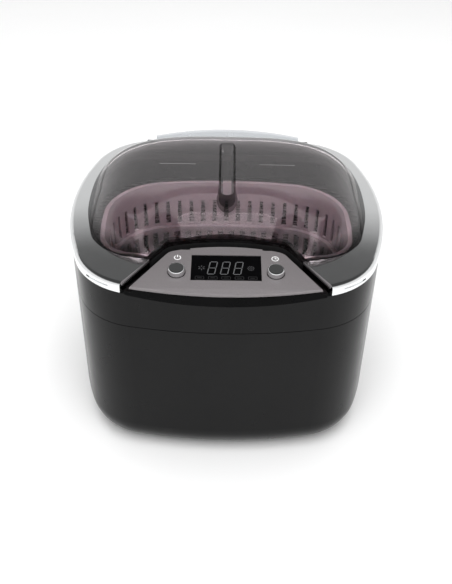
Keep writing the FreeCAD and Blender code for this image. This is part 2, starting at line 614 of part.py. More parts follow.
# ------------------------------------------------------------------ fascia
def panel_outline():
    return cutout_prism(-PANEL_GAP, 100, 160, -PANEL_SIDE_GAP).common(panel_bow(0))


def display_box(grow, w0, w1):
    return box(-DISPLAY_W / 2 - grow, DISPLAY_V - DISPLAY_H / 2 - grow, w0,
               DISPLAY_W + 2 * grow, DISPLAY_H + 2 * grow, w1 - w0)


def display_chamfer():
    """Wedge that slopes from the face of the fascia down to the lower edge of the display."""
    low = DISPLAY_V - DISPLAY_H / 2
    x = -DISPLAY_W / 2
    pts = [V(x, low - DISPLAY_CHAMFER, 0), V(x, low - DISPLAY_CHAMFER, 1), V(x, low + 0.1, 1),
           V(x, low + 0.1, -DISPLAY_SINK)]
    return Part.Face(Part.makePolygon(pts + pts[:1])).extrude(V(DISPLAY_W, 0, 0))


def on_face(edge):
    """True for an edge that bounds the flat of the fascia, apart from its crease with the lip."""
    tilt = math.tan(math.radians(PANEL_SLOPE_DEG))
    ends = [v.Point for v in edge.Vertexes]
    flat = all(abs(p.z - panel_z(PANEL_ORIGIN_Y) - tilt * (p.y - PANEL_ORIGIN_Y)) < 0.01 for p in ends)
    return flat and any(p.y > LIP_Y + 1.5 for p in ends)


def control_panel():
    s = panel_outline().common(panel_space(PANEL_T)).cut(panel_space(0))
    s = s.cut(box(-150, -150, 100, 300, 300, PANEL_LOW_Z - 100))
    s = s.makeChamfer(PANEL_BEVEL, [e for e in s.Edges if on_face(e)])
    holes = [display_box(0, -DISPLAY_SEAT, 5), display_box(-1.5, -5, 5), display_chamfer()]
    for sx in (-1, 1):
        holes.append(Part.makeCylinder(BUTTON_R + BUTTON_GAP, 10, V(sx * BUTTON_X, BUTTON_V, -5)))
        holes.append(box(sx * NOTCH_SLOT_X - NOTCH_SLOT_W / 2, NOTCH_SLOT_V, -1.1, NOTCH_SLOT_W, 3, 3))
    return s.cut(on_panel(Part.makeCompound(holes)))


def display_window():
    return on_panel(display_box(-0.05, -DISPLAY_SEAT, -DISPLAY_SINK))


def display_module():
    s = box(-19.5, DISPLAY_V - 10.0, BOARD_W + BOARD_T, 39, 20, 6.6)
    return on_panel(s)


def control_board():
    s = box(-35, -13.5, BOARD_W, 70, 20.5, BOARD_T).fuse(box(-22, 6.9, BOARD_W, 44, 6.6, BOARD_T))
    s = s.fuse(box(-8, -12.5, BOARD_W - 5, 16, 6, 5.0))
    return on_panel(s)


def tact_switches():
    z = BOARD_W + BOARD_T
    one = [box(sx * BUTTON_X - 3, BUTTON_V - 3, z, 6, 6, SWITCH_H).fuse(
        Part.makeCylinder(1.6, 1.0, V(sx * BUTTON_X, BUTTON_V, z + SWITCH_H - 0.01))) for sx in (-1, 1)]
    return group([on_panel(s) for s in one])


def button(sx):
    x, r = sx * BUTTON_X, BUTTON_R
    s = Part.makeCylinder(r, BUTTON_H + 2.6, V(x, BUTTON_V, -2.6))
    s = s.makeFillet(0.9, [e for e in s.Edges if e.BoundBox.ZMin > BUTTON_H - 0.1])
    s = s.fuse(Part.makeCylinder(r + 0.9, 0.9, V(x, BUTTON_V, -3.1)))
    return on_panel(s)


# ------------------------------------------------------------------ drive under the tank
def ring_disc(r, hole, z0, z1):
    return cyl(r, 0, TRANS_Y, z0, z1).cut(cyl(hole, 0, TRANS_Y, z0 - 1, z1 + 1))


def transducer_front_mass():
    s = Part.makeCone(20.0, 24.0, TANK_UNDER - 42.1, V(0, TRANS_Y, 42.1))
    return s.cut(cyl(BOLT_R, 0, TRANS_Y, 40, 52))


def electrodes():
    out = []
    for z, side in ((41.7, 1), (36.3, -1), (30.9, 1)):
        tab = box(17 if side > 0 else -27, TRANS_Y - 2.5, z, 10, 5, 0.4)
        out.append(ring_disc(19.0, 5.0, z, z + 0.4).fuse(tab))
    return group(out)


def transducer_bolt():
    r, z0, z1 = 7.4, 15.2, 20.9
    angles = [math.radians(a) for a in range(0, 361, 60)]
    hexagon = Part.makePolygon([V(r * math.cos(a), TRANS_Y + r * math.sin(a), z0) for a in angles])
    return prism(hexagon, z1 - z0).fuse(cyl(BOLT_R, 0, TRANS_Y, z1 - 0.1, 50.0))


def driver_board():
    s = box(-50, -40, BOARD_Z, 100, 78, BOARD_T)
    return s.cut(Part.makeCompound([cyl(1.3, x, y, 5, 20) for x, y in BOARD_SCREW_XY]))


def board_screws():
    out = []
    for x, y in BOARD_SCREW_XY:
        s = screw(x, y, 0, 6.0, 1.2, 2.4, 1.6)
        s.rotate(V(x, y, 0), V(1, 0, 0), 180)
        s.translate(V(0, 0, PCB_TOP))
        out.append(s)
    return group(out)


def heat_sink():
    s = box(-44, -34, PCB_TOP, 6, 40, 4)
    base = box(-44, -34, PCB_TOP, 3, 40, 26)
    fins = [box(-41.1, -34 + i * 5.0, PCB_TOP + 3, 12, 1.5, 23) for i in range(8)]
    return s.fuse([base] + fins)


def power_transistors():
    out = []
    for y in (-26.0, -6.0):
        body = box(-48.5, y - 8, PCB_TOP + 5, 4.5, 16, 19)
        legs = [box(-46.8, y + d - 0.5, PCB_TOP, 0.8, 1.0, 5.1) for d in (-5, 0, 5)]
        out.append(body.fuse(legs))
    return group(out)


def transformer():
    core = box(-12, -34, PCB_TOP + 3, 28, 24, 24)
    coil = rounded_box(-9, -37, PCB_TOP + 6, 22, 30, 18, 4.0)
    pins = [cyl(0.5, x, y, PCB_TOP, PCB_TOP + 4) for x in (-9, 2, 13) for y in (-32, -12)]
    return core.fuse([coil] + pins)


def filter_capacitors():
    out = []
    for x, y in ((38.0, -18.0), (38.0, 4.0)):
        c = cyl(8.5, x, y, PCB_TOP, PCB_TOP + 26)
        c = c.makeFillet(0.8, [e for e in c.Edges if e.BoundBox.ZMin > PCB_TOP + 25])
        out.append(c)
    return group(out)


def toroid_inductor():
    s = Part.makeTorus(8.0, 3.6, V(-34, 24, PCB_TOP + 4.2), V(0, 0, 1))
    return s


def fuse_holder():
    s = Part.makeCylinder(2.6, 20, V(22, 33, PCB_TOP + 4), V(1, 0, 0))
    clips = [box(x, 29.5, PCB_TOP, 4, 7, 4.5) for x in (22, 38)]
    return s.fuse(clips)


def figure_eight(r, half, y0, y1, z):
    s = [Part.makeCylinder(r, y1 - y0, V(INLET_X + sx * half, y0, z), V(0, 1, 0)) for sx in (-1, 1)]
    return s[0].fuse(s[1]).fuse(box(INLET_X - half, y0, z - r * 0.72, 2 * half, y1 - y0, r * 1.44))


def rear_wall_y(z):
    """Outer face of the rear wall of the lower shell at mid width."""
    return HALF_D - SHELL_INSET - TAPER * (LID_Z - z) / LID_Z


INLET_Y = rear_wall_y(INLET_Z)


def inlet_neck(sx, length):
    start = V(INLET_X + sx * CONTACT_X, INLET_Y - PIN_TAIL, INLET_Z)
    return Part.makeCylinder(NECK_R, length, start, V(0, 1, 0))


def power_inlet():
    s = box(INLET_X - 11, INLET_Y - 16, INLET_Z - 7, 22, 16, 14)
    s = s.fuse(box(INLET_X - 13, INLET_Y - 4.4, INLET_Z - 9, 26, 1.6, 18))
    s = s.cut(figure_eight(4.1, CONTACT_X, INLET_Y - WELL_DEPTH, INLET_Y + 1, INLET_Z))
    return s.cut(Part.makeCompound([inlet_neck(sx, 10) for sx in (-1, 1)]))


def inlet_pins():
    out = []
    base = INLET_Y - WELL_DEPTH + PIN_NECK
    for sx in (-1, 1):
        x = INLET_X + sx * CONTACT_X
        pin = Part.makeCylinder(CONTACT_R, INLET_Y - PIN_END - base, V(x, base, INLET_Z), V(0, 1, 0))
        pin = pin.makeFillet(0.6, [e for e in pin.Edges if e.BoundBox.YMin > INLET_Y - PIN_END - 0.1])
        out.append(pin.fuse(inlet_neck(sx, base + 0.1 - INLET_Y + PIN_TAIL)))
    return group(out)


def wiring():
    tail_y = INLET_Y - PIN_TAIL - 0.4
    low = PCB_TOP + 1.2
    runs = [((-CONTACT_X, tail_y, INLET_Z), (-6, 60, 34), (-10, 48, 22), (-12, 34, low)),
            ((CONTACT_X, tail_y, INLET_Z), (6, 61, 33), (8, 49, 21), (8, 34.5, low)),
            ((26.0, TRANS_Y, 43.4), (30, TRANS_Y - 2, 46), (29, 7, 41), (21.5, 3, 20), (20.5, 2, low)),
            ((-26.0, TRANS_Y, 38.0), (-31, TRANS_Y, 40), (-33, 12, 34), (-27, 8, 20), (-24, 8, low)),
            ((-2, -72.7, 118.4), (-2, -74, 110), (-4, -72, 60), (-6, -52, 24), (-6, -38.5, low)),
            ((2, -72.7, 118.4), (2, -74, 110), (0, -72, 60), (-2, -52, 24), (-2, -38.5, low))]
    return group([pipe(r, 1.1) for r in runs])


# ------------------------------------------------------------------ build
PIECES = {
    "base_shell": base_shell, "bottom_plate": bottom_plate, "rubber_feet": rubber_feet,
    "base_screws": base_screws, "shell_screws": shell_screws,
    "upper_shell": upper_shell, "tank": tank, "tank_gasket": tank_gasket,
    "hinge_cover": hinge_cover, "hinge_pins": hinge_pins,
    "hinge_screws": hinge_screws,
    "control_panel": control_panel, "display_window": display_window, "display_module": display_module,
    "control_board": control_board, "tact_switches": tact_switches,
    "power_button": lambda: button(-1), "timer_button": lambda: button(1),
    "lid_ring": lid_ring, "lid_window": lid_window, "lid_inner_frame": lid_inner_frame,
    "lid_screws": lid_screws, "basket": basket,
    "transducer_front_mass": transducer_front_mass,
    "piezo_rings": lambda: group([ring_disc(19.0, 6.5, z0, z1) for z0, z1 in RINGS]),
    "electrodes": electrodes,
    "transducer_back_mass": lambda: ring_disc(19.0, BOLT_R, 20.9, 30.9),
    "transducer_bolt": transducer_bolt,
    "driver_board": driver_board, "board_screws": board_screws, "heat_sink": heat_sink,
    "power_transistors": power_transistors, "transformer": transformer,
    "filter_capacitors": filter_capacitors, "toroid_inductor": toroid_inductor, "fuse_holder": fuse_holder,
    "power_inlet": power_inlet, "inlet_pins": inlet_pins, "wiring": wiring,
}

for name, make in PIECES.items():
    save(name, make())
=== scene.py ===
import json
import math

import bpy
import bmesh
from mathutils import Matrix, Vector


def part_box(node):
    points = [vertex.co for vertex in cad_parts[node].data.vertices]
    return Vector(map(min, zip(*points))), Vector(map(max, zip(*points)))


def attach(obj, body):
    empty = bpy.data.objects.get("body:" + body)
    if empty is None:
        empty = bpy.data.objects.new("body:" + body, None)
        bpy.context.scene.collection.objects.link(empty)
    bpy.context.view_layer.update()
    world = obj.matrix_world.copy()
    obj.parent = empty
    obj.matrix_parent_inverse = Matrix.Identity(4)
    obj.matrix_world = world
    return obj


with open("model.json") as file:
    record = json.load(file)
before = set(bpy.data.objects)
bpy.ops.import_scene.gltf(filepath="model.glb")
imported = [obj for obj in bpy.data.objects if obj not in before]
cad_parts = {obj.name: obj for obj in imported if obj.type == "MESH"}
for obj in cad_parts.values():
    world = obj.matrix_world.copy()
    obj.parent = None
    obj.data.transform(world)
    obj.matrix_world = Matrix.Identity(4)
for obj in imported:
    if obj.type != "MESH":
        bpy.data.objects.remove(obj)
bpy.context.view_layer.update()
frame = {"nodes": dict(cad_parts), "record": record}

# ------------------------------------------------------------------ named values (metres, degrees)
PANEL_SLOPE = math.radians(6.8)       # the fascia leans towards the user
DISPLAY_H, LENS_T, LENS_SINK = 0.0227, 0.0007, 0.0005   # the lens, and how far it lies under the fascia
PRINT_LIFT = 0.00004                  # printed marks stand this far off their surface
DIGIT_H, DIGIT_W, DIGIT_STEP, DIGIT_SLANT = 0.0112, 0.0044, 0.0079, 0.16
STROKE = 0.0006
SYMBOL_X, SYMBOL_V = 0.0150, -0.00015  # the two symbols beside the figures
PROGRAMME_V, PROGRAMME_STEP = -0.0091, 0.0080
LABEL_X, LABEL_V = 0.0300, 0.0085     # the marks above the buttons, from the middle of the display
SYMBOL_R = 0.0023                     # outer radius of the two symbols
FIELD_HALF = (0.0026, 0.0013)         # half width and half height of a programme field
MARK_W = 0.0005                       # line width of the clock face
POWER_R, POWER_W, CLOCK_R = 0.0019, 0.00055, 0.0020
LINE_Y, LINE_X, LINE_HALF_W, LINE_LIFT = 0.0172, (0.0210, 0.0450), 0.00015, 0.00006
LINE_FROM_Z = 0.25                    # a height above the dome
BASKET_PAINTED_SHADE_Z = (0.066, 0.121)       # painted shade: the basket's colour is darker towards its floor, where less light comes
STEEP = (0.52, 0.70)                  # upright part of a normal, from steep to flat
# sockets of a colour mix node
MIX_FACTOR, MIX_A, MIX_B, MIX_RESULT = 0, 6, 7, 2
# brightness of the sky for the upward part of a direction
SKY = [(0.0, 1.0), (0.25, 0.95), (0.50, 0.78), (0.585, 0.66), (0.62, 0.12), (0.80, 0.06), (1.0, 0.05)]
CAMERA_AT = Vector((-0.0024, -0.4889, 0.4280))
CAMERA_AIM = Vector((0.0048, 0.8066, -0.5911))
CAMERA_ROLL = math.radians(1.04)
CAMERA_LENS = 52.4
FLOOR_HALF = 6.0


# ------------------------------------------------------------------ materials
class Nodes:
    """A small helper for building one material."""

    def __init__(self, name):
        self.m = bpy.data.materials.new(name)
        self.m.use_nodes = True
        self.t = self.m.node_tree
        self.shader = self.t.nodes["Principled BSDF"]
        self.out = self.t.nodes["Material Output"]
        self.place = self.t.nodes.new("ShaderNodeTexCoord").outputs["Object"]

    def node(self, kind, **values):
        n = self.t.nodes.new(kind)
        for key, value in values.items():
            if key in n.inputs:
                n.inputs[key].default_value = value
            else:
                setattr(n, key, value)
        return n

    def link(self, a, b):
        self.t.links.new(a, b)

    def noise(self, scale, detail=4.0, stretch=None, rough=0.55):
        n = self.node("ShaderNodeTexNoise", Scale=scale, Detail=detail, Roughness=rough)
        source = self.place
        if stretch:
            mapping = self.node("ShaderNodeMapping", Scale=stretch)
            self.link(self.place, mapping.inputs["Vector"])
            source = mapping.outputs["Vector"]
        self.link(source, n.inputs["Vector"])
        return n.outputs["Fac"]

    def span(self, fac, low, high, a=0.3, b=0.7):
        """Turns a value between a and b into a number between low and high."""
        n = self.node("ShaderNodeMapRange")
        n.inputs["From Min"].default_value, n.inputs["From Max"].default_value = a, b
        n.inputs["To Min"].default_value, n.inputs["To Max"].default_value = low, high
        self.link(fac, n.inputs["Value"])
        return n.outputs["Result"]

    def ramp(self, fac, stops):
        n = self.node("ShaderNodeValToRGB")
        while len(n.color_ramp.elements) < len(stops):
            n.color_ramp.elements.new(0.5)
        for element, (at, colour) in zip(n.color_ramp.elements, stops):
            element.position, element.color = at, (*colour, 1)
        self.link(fac, n.inputs["Fac"])
        return n.outputs["Color"]

    def size(self, value):
        """The value without its sign."""
        n = self.node("ShaderNodeMath", operation="ABSOLUTE")
        self.link(value, n.inputs[0])
        return n.outputs[0]

    def blend(self, kind, fac, colour, fixed):
        """Blends a colour with a fixed one."""
        n = self.node("ShaderNodeMix", data_type="RGBA", blend_type=kind)
        self.link(fac, n.inputs[MIX_FACTOR])
        self.link(colour, n.inputs[MIX_A])
        n.inputs[MIX_B].default_value = (*fixed, 1)
        return n.outputs[MIX_RESULT]

    def bump(self, height, distance, strength=1.0):
        n = self.node("ShaderNodeBump", Strength=strength, Distance=distance)
        self.link(height, n.inputs["Height"])
        self.link(n.outputs["Normal"], self.shader.inputs["Normal"])

    def set(self, **values):
        for key, value in values.items():
            self.shader.inputs[key.replace("_", " ")].default_value = value

    def colour(self, a, b, scale, detail=4.0, stretch=None):
        """Base colour that wanders between two shades."""
        fac = self.noise(scale, detail, stretch)
        self.link(self.ramp(fac, [(0.3, a), (0.7, b)]), self.shader.inputs["Base Color"])

    def rough(self, low, high, scale, detail=4.0, stretch=None):
        self.link(self.span(self.noise(scale, detail, stretch), low, high), self.shader.inputs["Roughness"])


def black_gloss():
    """Moulded housing: satin gloss with the faint ripple of an injection mould and light handling marks."""
    n = Nodes("black_gloss")
    n.colour((0.0038, 0.0038, 0.0040), (0.0052, 0.0052, 0.0054), 35)
    n.rough(0.20, 0.28, 60, 6)
    n.set(Specular_IOR_Level=0.16)
    n.bump(n.noise(1400, 2), 0.00001, 0.12)
    return n.m


def black_matte():
    n = Nodes("black_matte")
    n.colour((0.008, 0.008, 0.0085), (0.014, 0.014, 0.0145), 120)
    n.rough(0.5, 0.66, 300, 3)
    n.bump(n.noise(3000, 3), 0.00004, 0.5)
    return n.m


def rubber():
    n = Nodes("rubber")
    n.colour((0.022, 0.022, 0.022), (0.040, 0.040, 0.038), 500)
    n.rough(0.75, 0.9, 200)
    n.bump(n.noise(2500, 3), 0.00006, 0.6)
    return n.m


def chrome(name, tint, low, high, metallic=1.0):
    """Smooth bright finish: faint smears in its gloss and a hardly visible ripple."""
    n = Nodes(name)
    n.colour(tuple(c * 0.97 for c in tint), tint, 50)
    n.set(Metallic=metallic)
    n.rough(low, high, 45, 5)
    n.bump(n.noise(90, 2), 0.00003, 0.10)
    return n.m


def brushed(name, tint, low, high, stretch, bump=0.00002):
    """Metal with fine lines along one direction."""
    n = Nodes(name)
    n.colour(tuple(c * 0.9 for c in tint), tint, 900, 3, stretch)
    n.set(Metallic=1.0)
    n.rough(low, high, 900, 3, stretch)
    n.bump(n.noise(1500, 2, stretch), bump, 0.5)
    return n.m


def fascia():
    """Grey metallic lacquer with a fine flake."""
    n = Nodes("fascia")
    flake = n.noise(5200, 2)
    n.link(n.ramp(flake, [(0.3, (0.245, 0.225, 0.232)), (0.62, (0.325, 0.302, 0.310)),
                          (0.8, (0.46, 0.43, 0.44))]),
           n.shader.inputs["Base Color"])
    n.set(Metallic=0.55)
    n.rough(0.34, 0.46, 900, 3)
    n.bump(flake, 0.000012, 0.35)
    return n.m


def steepness(n):
    """Nought on flat parts of a surface and one on its steep parts, whatever way they face."""
    turned = n.node("ShaderNodeSeparateXYZ")
    n.link(n.node("ShaderNodeNewGeometry").outputs["Normal"], turned.inputs["Vector"])
    return n.span(n.size(turned.outputs["Z"]), 1.0, 0.0, *STEEP)


def smoked_clear():
    """Smoke-tinted clear moulding, with painted shade on its steep parts and where it is seen edge on,
    standing in for the dark edges that bent light gives.

    Lamp light reaches what lies behind it.
    """
    n = Nodes("smoked_clear")
    facing = n.node("ShaderNodeLayerWeight", Blend=0.5)
    painted_shade_fac = n.node("ShaderNodeMath", operation="ADD")
    n.link(facing.outputs["Facing"], painted_shade_fac.inputs[0])
    n.link(n.span(n.noise(8), -0.01, 0.01), painted_shade_fac.inputs[1])
    # painted shade: the smoke tint turns near black where the dome is seen edge on
    tint = n.ramp(painted_shade_fac.outputs[0], [(0.0, (0.60, 0.54, 0.56)), (0.55, (0.53, 0.475, 0.495)),
                                     (0.80, (0.16, 0.145, 0.15)), (1.0, (0.03, 0.03, 0.03))])
    steep = steepness(n)
    # painted shade: steep parts take a near-black colour in place of the dark edges that bent light gives
    n.link(n.blend("MIX", steep, tint, (0.10, 0.09, 0.093)), n.shader.inputs["Base Color"])
    n.link(n.span(steep, 1.0, 0.15, 0.0, 1.0), n.shader.inputs["Coat Weight"])
    n.set(Transmission_Weight=1.0, IOR=1.03, Coat_Roughness=0.03, Coat_IOR=1.6)
    n.rough(0.004, 0.012, 30, 5)
    clear = n.node("ShaderNodeBsdfTransparent", Color=(0.66, 0.62, 0.63, 1))
    ray = n.node("ShaderNodeLightPath")
    mix = n.node("ShaderNodeMixShader")
    n.link(ray.outputs["Is Shadow Ray"], mix.inputs["Fac"])
    n.link(n.shader.outputs["BSDF"], mix.inputs[1])
    n.link(clear.outputs["BSDF"], mix.inputs[2])
    n.link(mix.outputs["Shader"], n.out.inputs["Surface"])
    return n.m


def basket_plastic():
    """Pale pinkish moulding, with painted shade darkening it towards the floor of the basket."""
    n = Nodes("basket_plastic")
    shade = n.ramp(n.noise(60), [(0.3, (0.62, 0.55, 0.58)), (0.7, (0.67, 0.60, 0.63))])
    at = n.node("ShaderNodeSeparateXYZ")
    n.link(n.place, at.inputs["Vector"])
    # painted shade: the colour is multiplied darker from the rim down to the floor
    painted_shade_fac = n.span(at.outputs["Z"], 1.0, 0.0, *BASKET_PAINTED_SHADE_Z)
    n.link(n.blend("MULTIPLY", painted_shade_fac, shade, (0.40, 0.385, 0.39)), n.shader.inputs["Base Color"])
    n.rough(0.38, 0.5, 250)
    n.set(Subsurface_Weight=0.08, Subsurface_Scale=0.002)
    n.bump(n.noise(1800, 2), 0.00002, 0.3)
    return n.m


def display_glass():
    n = Nodes("display_glass")
    n.colour((0.0010, 0.0010, 0.0012), (0.0018, 0.0018, 0.0022), 200)
    n.rough(0.10, 0.18, 120, 5)
    n.set(Specular_IOR_Level=0.12)
    return n.m


def plain(name, a, b, low, high, scale=400, bump=0.00002, metallic=0.0):
    """Small inside piece: two shades, uneven gloss and a fine grain."""
    n = Nodes(name)
    n.colour(a, b, scale)
    n.set(Metallic=metallic)
    n.rough(low, high, scale * 1.5)
    n.bump(n.noise(scale * 4, 3), bump, 0.5)
    return n.m


def circuit_board():
    """Green solder mask over copper tracks."""
    n = Nodes("circuit_board")
    brick = n.node("ShaderNodeTexBrick", Scale=210.0)
    brick.inputs["Color1"].default_value = (0.012, 0.10, 0.035, 1)
    brick.inputs["Color2"].default_value = (0.018, 0.13, 0.045, 1)
    brick.inputs["Mortar"].default_value = (0.035, 0.20, 0.07, 1)
    brick.inputs["Mortar Size"].default_value = 0.035
    n.link(n.place, brick.inputs["Vector"])
    n.link(brick.outputs["Color"], n.shader.inputs["Base Color"])
    n.rough(0.28, 0.4, 300)
    n.bump(brick.outputs["Fac"], 0.00003, 0.4)
    return n.m


def printed(name, colour, rough):
    n = Nodes(name)
    n.colour(tuple(c * 0.92 for c in colour), colour, 1500)
    n.rough(rough * 0.9, rough * 1.1, 800)
    return n.m


CHROME = (0.86, 0.87, 0.875)
MATERIALS = {
    "black_gloss": black_gloss(),
    "black_matte": black_matte(),
    "rubber": rubber(),
    "zinc_screw": brushed("zinc_screw", (0.62, 0.62, 0.58), 0.25, 0.4, (1, 1, 0.2)),
    "stainless": brushed("stainless", (0.44, 0.44, 0.435), 0.2, 0.34, (0.04, 1, 1)),
    "silicone": plain("silicone", (0.40, 0.40, 0.39), (0.47, 0.47, 0.46), 0.55, 0.7),
    "chrome_trim": chrome("chrome_trim", CHROME, 0.045, 0.09),
    "hinge_silver": chrome("hinge_silver", (0.60, 0.62, 0.645), 0.22, 0.28, metallic=0.3),
    "steel_pin": brushed("steel_pin", (0.60, 0.60, 0.60), 0.2, 0.3, (0.1, 1, 1)),
    "fascia": fascia(),
    "display_glass": display_glass(),
    "display_body": plain("display_body", (0.03, 0.03, 0.035), (0.05, 0.05, 0.055), 0.5, 0.6),
    "circuit_board": circuit_board(),
    "switch_black": plain("switch_black", (0.015, 0.015, 0.015), (0.03, 0.03, 0.03), 0.4, 0.6),
    "smoked_clear": smoked_clear(),
    "basket_plastic": basket_plastic(),
    "aluminium": brushed("aluminium", (0.68, 0.68, 0.69), 0.25, 0.38, (1, 1, 0.05)),
    "piezo_ceramic": plain("piezo_ceramic", (0.16, 0.15, 0.135), (0.24, 0.225, 0.2), 0.4, 0.6),
    "brass_sheet": brushed("brass_sheet", (0.66, 0.46, 0.20), 0.22, 0.36, (0.1, 1, 1)),
    "dark_steel": brushed("dark_steel", (0.32, 0.32, 0.33), 0.28, 0.42, (1, 1, 0.05)),
    "black_anodised": plain("black_anodised", (0.012, 0.012, 0.014), (0.02, 0.02, 0.022), 0.35, 0.5,
                            scale=500, metallic=0.6),
    "epoxy_black": plain("epoxy_black", (0.012, 0.012, 0.012), (0.025, 0.025, 0.025), 0.45, 0.6),
    "ferrite_copper": plain("ferrite_copper", (0.30, 0.09, 0.03), (0.46, 0.17, 0.06), 0.3, 0.42,
                            scale=900, bump=0.0001, metallic=0.5),
    "capacitor_sleeve": plain("capacitor_sleeve", (0.012, 0.02, 0.07), (0.018, 0.03, 0.10), 0.25, 0.35),
    "fuse_glass": plain("fuse_glass", (0.45, 0.46, 0.46), (0.6, 0.61, 0.6), 0.15, 0.25,
                        scale=300, bump=0.00001, metallic=0.6),
    "wire_red": plain("wire_red", (0.30, 0.02, 0.015), (0.42, 0.035, 0.02), 0.35, 0.5),
    "nickel": brushed("nickel", (0.66, 0.65, 0.60), 0.15, 0.25, (1, 0.05, 1)),
}
SLOT_OF = {s["node"]: s["material_slot"] for s in frame["record"]["subparts"]}
for node_name, piece in frame["nodes"].items():
    piece.data.materials.clear()
    piece.data.materials.append(MATERIALS[SLOT_OF[node_name]])


# ------------------------------------------------------------------ printed marks on the fascia
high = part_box("display_window")[1]
SLOPE_DIR = Vector((0, math.cos(PANEL_SLOPE), math.sin(PANEL_SLOPE)))
NORMAL = Vector((0, -math.sin(PANEL_SLOPE), math.cos(PANEL_SLOPE)))
LENS_TOP = Vector((0, high.y - LENS_T * math.sin(PANEL_SLOPE), high.z))
LENS_MIDDLE = LENS_TOP - SLOPE_DIR * DISPLAY_H / 2


def on_fascia(u, v, lift):
    """Point u to the right of and v up the slope from the middle of the display."""
    return Vector((u, 0, 0)) + LENS_MIDDLE + SLOPE_DIR * v + NORMAL * lift


def flat_mark(name, loops, material, lift):
    """One object made of flat outlines on the fascia, each a list of (u, v)."""
    mesh = bpy.data.meshes.new(name)
    bm = bmesh.new()
    for loop in loops:
        verts = [bm.verts.new(on_fascia(u, v, lift)) for u, v in loop]
        bm.faces.new(verts)
    bmesh.ops.recalc_face_normals(bm, faces=bm.faces)
    for face in bm.faces:
        if face.normal.dot(NORMAL) < 0:
            face.normal_flip()
    solid = bmesh.ops.extrude_face_region(bm, geom=list(bm.faces))
    moved = [g for g in solid["geom"] if isinstance(g, bmesh.types.BMVert)]
    bmesh.ops.translate(bm, verts=moved, vec=-NORMAL * lift * 0.9)
    bmesh.ops.recalc_face_normals(bm, faces=bm.faces)
    bm.to_mesh(mesh)
    bm.free()
    mesh.materials.append(material)
    o = bpy.data.objects.new(name, mesh)
    bpy.context.scene.collection.objects.link(o)
    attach(o, "housing")


def bar(p, q, width):
    """Straight stroke with pointed ends."""
    (x0, y0), (x1, y1) = p, q
    length = math.hypot(x1 - x0, y1 - y0)
    dx, dy = (x1 - x0) / length, (y1 - y0) / length
    w = width / 2
    return [(x0, y0), (x0 + (dx - dy) * w, y0 + (dy + dx) * w),
            (x1 - (dx + dy) * w, y1 - (dy - dx) * w), (x1, y1),
            (x1 + (-dx + dy) * w, y1 + (-dy - dx) * w), (x0 + (dx + dy) * w, y0 + (dy - dx) * w)]


def ring_band(cx, cy, radius, width, start, end, steps=28):
    """Part of a ring, as one outline."""
    angles = [start + (end - start) * i / steps for i in range(steps + 1)]
    outer, inner = ([(cx + r * math.cos(a), cy + r * math.sin(a)) for a in angles]
                    for r in (radius + width / 2, radius - width / 2))
    return outer + inner[::-1]


def digit(cx, cy):
    """Seven slanted strokes of one display figure, all unlit."""
    w, h, gap = DIGIT_W / 2, DIGIT_H / 2, STROKE * 0.25

    def at(x, y):
        return cx + x + y * DIGIT_SLANT, cy + y

    ends = [((-w, h), (w, h)), ((-w, 0), (w, 0)), ((-w, -h), (w, -h)),
            ((-w, 0), (-w, h)), ((w, 0), (w, h)), ((-w, -h), (-w, 0)), ((w, -h), (w, 0))]
    out = []
    for (x0, y0), (x1, y1) in ends:
        sx, sy = (gap if x1 > x0 else 0), (gap if y1 > y0 else 0)
        out.append(bar(at(x0 + sx, y0 + sy), at(x1 - sx, y1 - sy), STROKE))
    return out


def spokes(cx, cy, count, r0, r1, width, turn=0.0):
    out = []
    for i in range(count):
        a = turn + 2 * math.pi * i / count
        c, s = math.cos(a), math.sin(a)
        out.append(bar((cx + r0 * c, cy + r0 * s), (cx + r1 * c, cy + r1 * s), width))
    return out


def circle(cx, cy, radius, width):
    """Closed ring, as two half bands."""
    return [ring_band(cx, cy, radius, width, start, start + math.pi) for start in (0, math.pi)]


def tick_box(x, y, half_w, half_h, width):
    """Small outlined field with a bar in it."""
    left, right, top, low = x - half_w, x + half_w, y + half_h, y - half_h
    return [bar((left, top), (right, top), width), bar((left, low), (right, low), width),
            bar((left, low + width / 2), (left, top - width / 2), width),
            bar((right, low + width / 2), (right, top - width / 2), width),
            bar((x - half_w * 0.6, y), (x + half_w * 0.6, y), width * 1.2)]


def display_marks():
    """Unlit figures, two symbols and a row of programme fields under the lens."""
    grey = printed("display_segments", (0.095, 0.097, 0.10), 0.35)
    star_grey = printed("star_print", (0.045, 0.045, 0.04725), 0.4)
    sun_grey = printed("sun_print", (0.055, 0.055, 0.05775), 0.4)
    dim = printed("display_symbols", (0.014, 0.014, 0.015), 0.4)
    digits = [stroke for i in (-1, 0, 1) for stroke in digit(-0.0005 + i * DIGIT_STEP, SYMBOL_V)]
    star = spokes(-SYMBOL_X, SYMBOL_V, 6, 0.0007, SYMBOL_R, 0.0006, math.radians(30))
    sun = spokes(SYMBOL_X, SYMBOL_V, 10, 0.0013, SYMBOL_R, 0.0005)
    sun += circle(SYMBOL_X, SYMBOL_V, 0.0007, 0.0003)
    fields = []
    for i in range(-2, 3):
        fields += tick_box(i * PROGRAMME_STEP, PROGRAMME_V, *FIELD_HALF, 0.0004)
    for name, loops, material in (("display_digits", digits, grey), ("display_star", star, star_grey),
                                  ("display_sun", sun, sun_grey), ("display_programmes", fields, dim)):
        flat_mark(name, loops, material, PRINT_LIFT)


